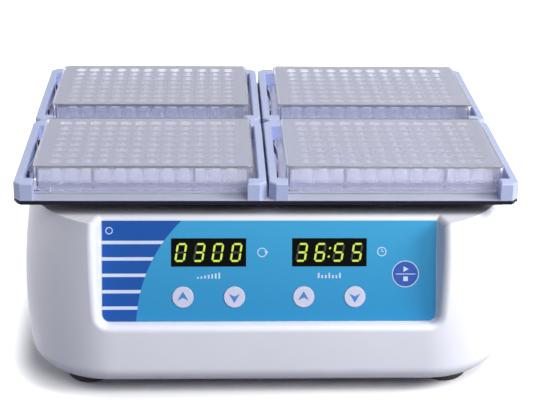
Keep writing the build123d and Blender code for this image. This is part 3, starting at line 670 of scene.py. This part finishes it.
def glowing(name, colour):
    """A material that gives off its colour, a little mottled, from the shader's own emission."""
    material = moulded(name, unlit_base, unlit_base, gloss=0.4, relief=0.0,
                       Emission_Strength=lit_strength)
    tree = material.node_tree
    spot = put(tree, "ShaderNodeTexCoord").outputs["Object"]
    mottle = put(tree, "ShaderNodeTexNoise", {"Vector": spot, "Scale": lit_mottle}).outputs["Fac"]
    dim = tuple(part * lit_dimmed for part in colour[:3]) + (1.0,)
    tint = put(tree, "ShaderNodeMix", {"Factor": mottle, "A": colour, "B": dim},
               data_type="RGBA").outputs["Result"]
    tree.links.new(tint, tree.nodes["Principled BSDF"].inputs["Emission Color"])
    return material


def slanted(outline, across, drop):
    """A flat outline leaned to the right about its middle and moved to its place."""
    leaned = outline + np.stack([outline[..., 1] * digit_slant, outline[..., 1] * 0], axis=-1)
    return leaned + np.array((across, -drop))


segment_on = glowing("segment_on", lit_colour)
segment_off = moulded("segment_off", (0.020, 0.024, 0.014, 1.0), (0.016, 0.020, 0.012, 1.0),
                      gloss=0.3)
for label, window_x, digits in (("speed", speed_window_x, "0300"),
                                ("time", time_window_x, "3655")):
    lit, unlit = [], []
    for index, digit in enumerate(digits):
        across = window_x + (index - (len(digits) - 1) / 2) * digit_pitch
        for letter, outline in digit_bars().items():
            kind = lit if letter in lit_segments[digit] else unlit
            kind.append(slanted(outline, across, window_drop))
    printed("digits_on_" + label, lit, window_rise, segment_on, "root")
    printed("digits_off_" + label, unlit, window_rise, segment_off, "root")

dot_turn = np.linspace(0, 2 * pi, colon_steps, endpoint=False)
dot = np.stack([np.cos(dot_turn), np.sin(dot_turn)], axis=-1) * colon_half
colon = [slanted(dot + (0.0, up), time_window_x, window_drop)
         for up in (-digit_half_height / 2, digit_half_height / 2)]
printed("digits_on_colon", colon, window_rise, segment_on, "root")


# Keys
# Four pale round keys with a blue arrowhead each, and a dark blue start and stop key with a pale
# ring round it. Each key slides in its own hole of the film.
key_drop = 43.4 * mm
start_drop = 30.5 * mm
key_rise = 0.9 * mm
start_x = 76.5 * mm
arrow_half = 3.1 * mm
arrow_height = 5.2 * mm
arrow_notch = 1.6 * mm
arrow_shift = 0.7 * mm
key_x = {"speed_up": -48.9 * mm, "speed_down": -20.0 * mm, "time_up": 19.0 * mm,
         "time_down": 47.9 * mm}

dress(moulded("pale_key", (0.62, 0.64, 0.80, 1.0), (0.58, 0.60, 0.77, 1.0), gloss=0.35,
              relief=0.05), *[name + "_button" for name in key_x])
dress(moulded("blue_key", (0.020, 0.085, 0.430, 1.0), (0.016, 0.075, 0.400, 1.0), gloss=0.35,
              relief=0.05), "start_stop_button")
arrow_print = moulded("arrow_print", (0.050, 0.230, 0.560, 1.0), (0.045, 0.210, 0.530, 1.0),
                      gloss=0.4)

arrow = np.array([(0.0, arrow_height / 2), (-arrow_half, -arrow_height / 2),
                  (0.0, arrow_notch - arrow_height / 2), (arrow_half, -arrow_height / 2)])
for name, across in key_x.items():
    way = 1.0 if name.endswith("up") else -1.0
    outline = arrow * (way, way) + (across, way * arrow_shift - key_drop)
    printed("arrow_" + name, [outline], key_rise, arrow_print, name + "_key")

# A line parts the start key, with a square below it and a triangle above.
start_place = (start_x, -start_drop)
start_line = np.array([(-5.6, -0.22), (5.6, -0.22), (5.6, 0.22), (-5.6, 0.22)]) * mm + start_place
start_square = np.array([(-1.3, -4.0), (1.3, -4.0), (1.3, -1.4), (-1.3, -1.4)]) * mm + start_place
start_triangle = np.array([(-1.2, 1.2), (1.8, 2.8), (-1.2, 4.4)]) * mm + start_place
printed("start_key_marks", [start_line, start_square], key_rise, pale_print,
        "start_stop_key")
printed("start_key_triangle", [start_triangle], key_rise, pale_print,
        "start_stop_key")


# Marks on the film
# Plain pale symbols are printed on the film: a ring with an arrow for the speed, a clock for the
# time, rising bars and a row of ticks under the displays, a small ring in the top corner, and a
# ring round the start key.
mark_base = film_rise
mark_radius = 2.4 * mm
mark_width = 0.5 * mm
orbit_radius = 1.8 * mm
orbit_width = 0.45 * mm
start_radius = 7.35 * mm
speed_mark = (-4.5 * mm, 18.2 * mm)
time_mark = (63.0 * mm, 17.8 * mm)
orbit_mark = (-90.0 * mm, 5.9 * mm)
under_drop = 31.3 * mm
bar_pitch = 2.0 * mm
bar_width = 0.9 * mm
bar_count = 7
bar_lowest = 0.9 * mm
bar_growth = 0.4 * mm
tick_long = 3.0 * mm
tick_short = 1.7 * mm
ring_steps = 40


def flat_ring(across, up, base, radius, width):
    """A flat ring: a rectangle as wide as width, carried round its middle at this radius."""
    top, outer, inner = base + print_thickness, radius + width / 2, radius - width / 2
    return turned_rings([(across, up, 0.0)],
                        [(outer, base), (outer, top), (inner, top), (inner, base)], ring_steps)


for name, (across, drop), radius, width in (
        ("start_ring", (start_x, start_drop), start_radius, mark_width),
        ("speed_ring", speed_mark, mark_radius, mark_width),
        ("time_ring", time_mark, mark_radius, mark_width),
        ("orbit_ring", orbit_mark, orbit_radius, orbit_width)):
    points, faces = flat_ring(across, -drop, mark_base, radius, width)
    piece(name, on_panel(points), faces, pale_print, "root")

speed_tip = np.array([(-1.1, 0.6), (0.0, -1.3), (1.1, 0.6)]) * mm
speed_tip += (speed_mark[0] + mark_radius, -speed_mark[1])
printed("speed_arrow", [speed_tip], mark_base + print_thickness, pale_print, "root")
hands = np.array([(-0.2, -0.2), (1.3, -0.2), (1.3, 0.2), (0.2, 0.2), (0.2, 1.7), (-0.2, 1.7)]) * mm
hands += (time_mark[0], -time_mark[1])
printed("clock_hands", [hands], mark_base, pale_print, "root")


def upright_bars(across, drop, heights):
    """Bars side by side on a common foot, one for each height."""
    bars = []
    for step, height in enumerate(heights):
        left = across + (step - (len(heights) - 1) / 2) * bar_pitch - bar_width / 2
        foot = -drop - max(heights) / 2
        bars.append([(left, foot), (left + bar_width, foot), (left + bar_width, foot + height),
                     (left, foot + height)])
    return bars


rising = [bar_lowest + bar_growth * step for step in range(bar_count)]
ticks = [tick_long if step % 3 == 0 else tick_short for step in range(bar_count)]
printed("speed_bars", upright_bars(speed_window_x, under_drop, rising), mark_base, pale_print,
        "root")
printed("time_ticks", upright_bars(time_window_x, under_drop, ticks), mark_base, pale_print,
        "root")


# Sockets and switch at the back
# A black mains inlet with three brass pins and a black rocker switch in its frame sit side by
# side in the rear recess. The rocker has a bar and a ring printed on its two ends.
rocker_pivot = (20.0 * mm, 118.0 * mm, 42.0 * mm)
rocker_tilt = radians(10.0)
rocker_face = 3.75 * mm
rocker_bar = np.array([(-0.4, 2.6), (0.4, 2.6), (0.4, 6.2), (-0.4, 6.2)]) * mm
rocker_ring_drop = 4.4 * mm
rocker_ring_radius = 1.7 * mm
rocker_ring_width = 0.6 * mm

dress(moulded("black_socket", (0.020, 0.020, 0.022, 1.0), (0.028, 0.028, 0.030, 1.0), gloss=0.45),
      "inlet_socket", "switch_frame")
dress(moulded("black_rocker", (0.016, 0.016, 0.018, 1.0), (0.022, 0.022, 0.024, 1.0), gloss=0.28),
      "power_rocker")
white_mark = moulded("white_mark", (0.70, 0.70, 0.70, 1.0), (0.62, 0.62, 0.62, 1.0), gloss=0.45)


def on_rocker(points):
    """Points given as across, up and out of the rocker's face, carried to their place on it."""
    across, up, out = np.moveaxis(np.asarray(points, float), -1, 0)
    out = out + rocker_face
    return np.stack([
        rocker_pivot[0] - across,
        rocker_pivot[1] + out * cos(rocker_tilt) - up * sin(rocker_tilt),
        rocker_pivot[2] + out * sin(rocker_tilt) + up * cos(rocker_tilt),
    ], axis=-1)


points, faces = prisms([rocker_bar], 0.0, print_thickness)
piece("rocker_bar", on_rocker(points), faces, white_mark, "rocker")
points, faces = flat_ring(0.0, -rocker_ring_drop, 0.0, rocker_ring_radius, rocker_ring_width)
piece("rocker_ring", on_rocker(points), faces, white_mark, "rocker")


# Boards inside the housing
# The control board stands behind the film and a flat cable joins it to the supply board, which
# carries the transformer and three capacitors.
dress(moulded("green_lacquer", (0.012, 0.150, 0.060, 1.0), (0.010, 0.120, 0.050, 1.0), gloss=0.30),
      "control_board", "supply_board")
dress(moulded("black_switch", (0.02, 0.02, 0.02, 1.0), (0.03, 0.03, 0.03, 1.0), gloss=0.4),
      "key_switches")
dress(moulded("wound_core", (0.06, 0.06, 0.07, 1.0), (0.10, 0.08, 0.06, 1.0), gloss=0.5),
      "power_transformer")
dress(moulded("blue_sleeve", (0.02, 0.03, 0.12, 1.0), (0.03, 0.04, 0.14, 1.0), gloss=0.3),
      "capacitors")
dress(moulded("flat_cable", (0.45, 0.46, 0.50, 1.0), (0.38, 0.39, 0.43, 1.0), gloss=0.45),
      "ribbon_cable")


low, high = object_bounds()
